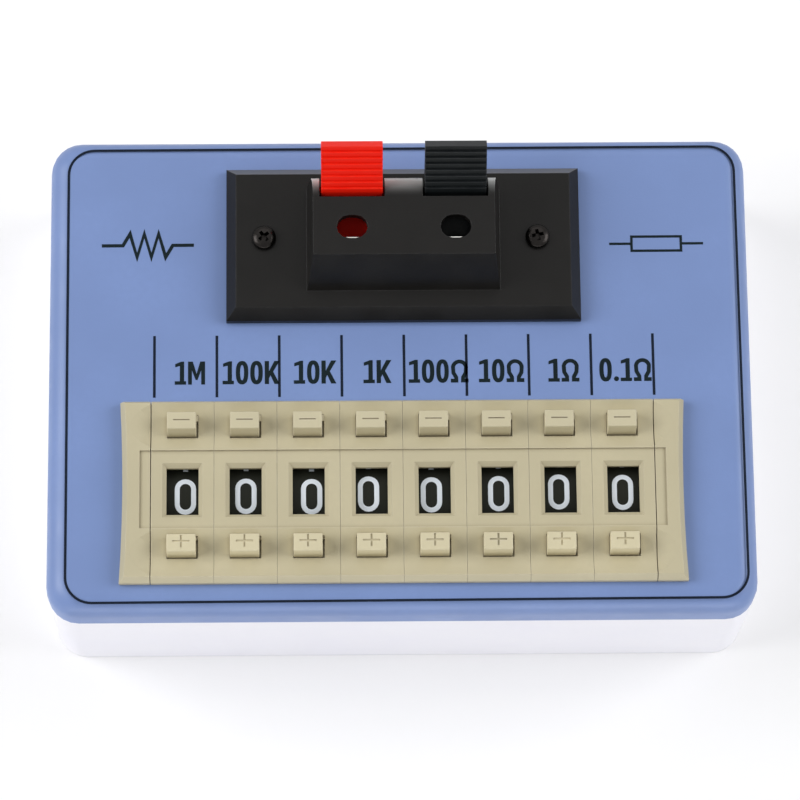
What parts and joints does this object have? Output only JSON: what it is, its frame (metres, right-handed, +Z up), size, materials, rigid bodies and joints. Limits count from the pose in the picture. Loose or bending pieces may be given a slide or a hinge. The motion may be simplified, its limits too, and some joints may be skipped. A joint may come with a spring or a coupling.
{
  "type": "resistance box",
  "caption": "Bench decade resistance box in a flat plastic case, with a row of push-button thumbwheel decades and a two-way spring push terminal.",
  "frame": {"origin": "centre of the underside, on the surface that the box stands on", "axes": "+X right along the row of decades, +Y back towards the terminal, +Z up"},
  "size_m": [0.113, 0.079, 0.0512],
  "materials": {
    "white_plastic": "smooth moulded",
    "blue_plastic": "fine satin",
    "black_plastic": "satin moulded",
    "red_plastic": "glossy moulded",
    "beige_plastic": "satin moulded",
    "button_plastic": "satin moulded",
    "wheel_plastic": "matte moulded",
    "spring_metal": "plated spring strip",
    "rod_steel": "zinc plated",
    "black_screw": "black finish",
    "circuit_board": "solder resist",
    "red_insulation": "smooth",
    "black_insulation": "smooth"
  },
  "bodies": {
    "case": {"lower_housing": "white_plastic", "upper_lid": "blue_plastic", "lid_screw_1": "rod_steel", "lid_screw_2": "rod_steel", "lid_screw_3": "rod_steel", "lid_screw_4": "rod_steel", "terminal_body": "black_plastic", "red_contact": "spring_metal", "black_contact": "spring_metal", "terminal_screw_left": "black_screw", "terminal_screw_right": "black_screw", "switch_frame_1": "beige_plastic", "switch_frame_2": "beige_plastic", "switch_frame_3": "beige_plastic", "switch_frame_4": "beige_plastic", "switch_frame_5": "beige_plastic", "switch_frame_6": "beige_plastic", "switch_frame_7": "beige_plastic", "switch_frame_8": "beige_plastic", "contact_board_1": "circuit_board", "contact_board_2": "circuit_board", "contact_board_3": "circuit_board", "contact_board_4": "circuit_board", "contact_board_5": "circuit_board", "contact_board_6": "circuit_board", "contact_board_7": "circuit_board", "contact_board_8": "circuit_board", "end_plate_left": "beige_plastic", "end_plate_right": "beige_plastic", "tie_rod_front": "rod_steel", "tie_rod_back": "rod_steel", "resistor_board": "circuit_board", "red_wire": "red_insulation", "black_wire": "black_insulation"},
    "red_lever": {"red_lever": "red_plastic"},
    "black_lever": {"black_lever": "black_plastic"},
    "digit_wheel_1": {"digit_wheel_1": "wheel_plastic"},
    "minus_button_1": {"minus_button_1": "button_plastic"},
    "plus_button_1": {"plus_button_1": "button_plastic"},
    "digit_wheel_2": {"digit_wheel_2": "wheel_plastic"},
    "minus_button_2": {"minus_button_2": "button_plastic"},
    "plus_button_2": {"plus_button_2": "button_plastic"},
    "digit_wheel_3": {"digit_wheel_3": "wheel_plastic"},
    "minus_button_3": {"minus_button_3": "button_plastic"},
    "plus_button_3": {"plus_button_3": "button_plastic"},
    "digit_wheel_4": {"digit_wheel_4": "wheel_plastic"},
    "minus_button_4": {"minus_button_4": "button_plastic"},
    "plus_button_4": {"plus_button_4": "button_plastic"},
    "digit_wheel_5": {"digit_wheel_5": "wheel_plastic"},
    "minus_button_5": {"minus_button_5": "button_plastic"},
    "plus_button_5": {"plus_button_5": "button_plastic"},
    "digit_wheel_6": {"digit_wheel_6": "wheel_plastic"},
    "minus_button_6": {"minus_button_6": "button_plastic"},
    "plus_button_6": {"plus_button_6": "button_plastic"},
    "digit_wheel_7": {"digit_wheel_7": "wheel_plastic"},
    "minus_button_7": {"minus_button_7": "button_plastic"},
    "plus_button_7": {"plus_button_7": "button_plastic"},
    "digit_wheel_8": {"digit_wheel_8": "wheel_plastic"},
    "minus_button_8": {"minus_button_8": "button_plastic"},
    "plus_button_8": {"plus_button_8": "button_plastic"}
  },
  "joints": [
    {"name": "wheel_1_turn", "type": "hinge", "parent": "case", "child": "digit_wheel_1", "pos_m": [-0.0348, -0.02, 0.0218], "axis": [1, 0, 0], "continuous": true},
    {"name": "wheel_2_turn", "type": "hinge", "parent": "case", "child": "digit_wheel_2", "pos_m": [-0.0248, -0.02, 0.0218], "axis": [1, 0, 0], "continuous": true},
    {"name": "wheel_3_turn", "type": "hinge", "parent": "case", "child": "digit_wheel_3", "pos_m": [-0.0148, -0.02, 0.0218], "axis": [1, 0, 0], "continuous": true},
    {"name": "wheel_4_turn", "type": "hinge", "parent": "case", "child": "digit_wheel_4", "pos_m": [-0.0048, -0.02, 0.0218], "axis": [1, 0, 0], "continuous": true},
    {"name": "wheel_5_turn", "type": "hinge", "parent": "case", "child": "digit_wheel_5", "pos_m": [0.0052, -0.02, 0.0218], "axis": [1, 0, 0], "continuous": true},
    {"name": "wheel_6_turn", "type": "hinge", "parent": "case", "child": "digit_wheel_6", "pos_m": [0.0152, -0.02, 0.0218], "axis": [1, 0, 0], "continuous": true},
    {"name": "wheel_7_turn", "type": "hinge", "parent": "case", "child": "digit_wheel_7", "pos_m": [0.0252, -0.02, 0.0218], "axis": [1, 0, 0], "continuous": true},
    {"name": "wheel_8_turn", "type": "hinge", "parent": "case", "child": "digit_wheel_8", "pos_m": [0.0352, -0.02, 0.0218], "axis": [1, 0, 0], "continuous": true},
    {"name": "minus_1_press", "type": "slide", "parent": "case", "child": "minus_button_1", "axis": [0, 0, -1], "range_m": [0, 0.002], "stiffness_N_per_m": 250, "springref_m": -0.001},
    {"name": "minus_2_press", "type": "slide", "parent": "case", "child": "minus_button_2", "axis": [0, 0, -1], "range_m": [0, 0.002], "stiffness_N_per_m": 250, "springref_m": -0.001},
    {"name": "minus_3_press", "type": "slide", "parent": "case", "child": "minus_button_3", "axis": [0, 0, -1], "range_m": [0, 0.002], "stiffness_N_per_m": 250, "springref_m": -0.001},
    {"name": "minus_4_press", "type": "slide", "parent": "case", "child": "minus_button_4", "axis": [0, 0, -1], "range_m": [0, 0.002], "stiffness_N_per_m": 250, "springref_m": -0.001},
    {"name": "minus_5_press", "type": "slide", "parent": "case", "child": "minus_button_5", "axis": [0, 0, -1], "range_m": [0, 0.002], "stiffness_N_per_m": 250, "springref_m": -0.001},
    {"name": "minus_6_press", "type": "slide", "parent": "case", "child": "minus_button_6", "axis": [0, 0, -1], "range_m": [0, 0.002], "stiffness_N_per_m": 250, "springref_m": -0.001},
    {"name": "minus_7_press", "type": "slide", "parent": "case", "child": "minus_button_7", "axis": [0, 0, -1], "range_m": [0, 0.002], "stiffness_N_per_m": 250, "springref_m": -0.001},
    {"name": "minus_8_press", "type": "slide", "parent": "case", "child": "minus_button_8", "axis": [0, 0, -1], "range_m": [0, 0.002], "stiffness_N_per_m": 250, "springref_m": -0.001},
    {"name": "plus_1_press", "type": "slide", "parent": "case", "child": "plus_button_1", "axis": [0, 0, -1], "range_m": [0, 0.002], "stiffness_N_per_m": 250, "springref_m": -0.001},
    {"name": "plus_2_press", "type": "slide", "parent": "case", "child": "plus_button_2", "axis": [0, 0, -1], "range_m": [0, 0.002], "stiffness_N_per_m": 250, "springref_m": -0.001},
    {"name": "plus_3_press", "type": "slide", "parent": "case", "child": "plus_button_3", "axis": [0, 0, -1], "range_m": [0, 0.002], "stiffness_N_per_m": 250, "springref_m": -0.001},
    {"name": "plus_4_press", "type": "slide", "parent": "case", "child": "plus_button_4", "axis": [0, 0, -1], "range_m": [0, 0.002], "stiffness_N_per_m": 250, "springref_m": -0.001},
    {"name": "plus_5_press", "type": "slide", "parent": "case", "child": "plus_button_5", "axis": [0, 0, -1], "range_m": [0, 0.002], "stiffness_N_per_m": 250, "springref_m": -0.001},
    {"name": "plus_6_press", "type": "slide", "parent": "case", "child": "plus_button_6", "axis": [0, 0, -1], "range_m": [0, 0.002], "stiffness_N_per_m": 250, "springref_m": -0.001},
    {"name": "plus_7_press", "type": "slide", "parent": "case", "child": "plus_button_7", "axis": [0, 0, -1], "range_m": [0, 0.002], "stiffness_N_per_m": 250, "springref_m": -0.001},
    {"name": "plus_8_press", "type": "slide", "parent": "case", "child": "plus_button_8", "axis": [0, 0, -1], "range_m": [0, 0.002], "stiffness_N_per_m": 250, "springref_m": -0.001},
    {"name": "red_lever_press", "type": "hinge", "parent": "case", "child": "red_lever", "pos_m": [-0.00765, 0.0273, 0.0413], "axis": [-1, 0, 0], "range_deg": [0, 20], "stiffness_Nm_per_rad": 0.08, "springref_deg": -20.05},
    {"name": "black_lever_press", "type": "hinge", "parent": "case", "child": "black_lever", "pos_m": [0.00885, 0.0273, 0.0413], "axis": [-1, 0, 0], "range_deg": [0, 20], "stiffness_Nm_per_rad": 0.08, "springref_deg": -20.05}
  ]
}
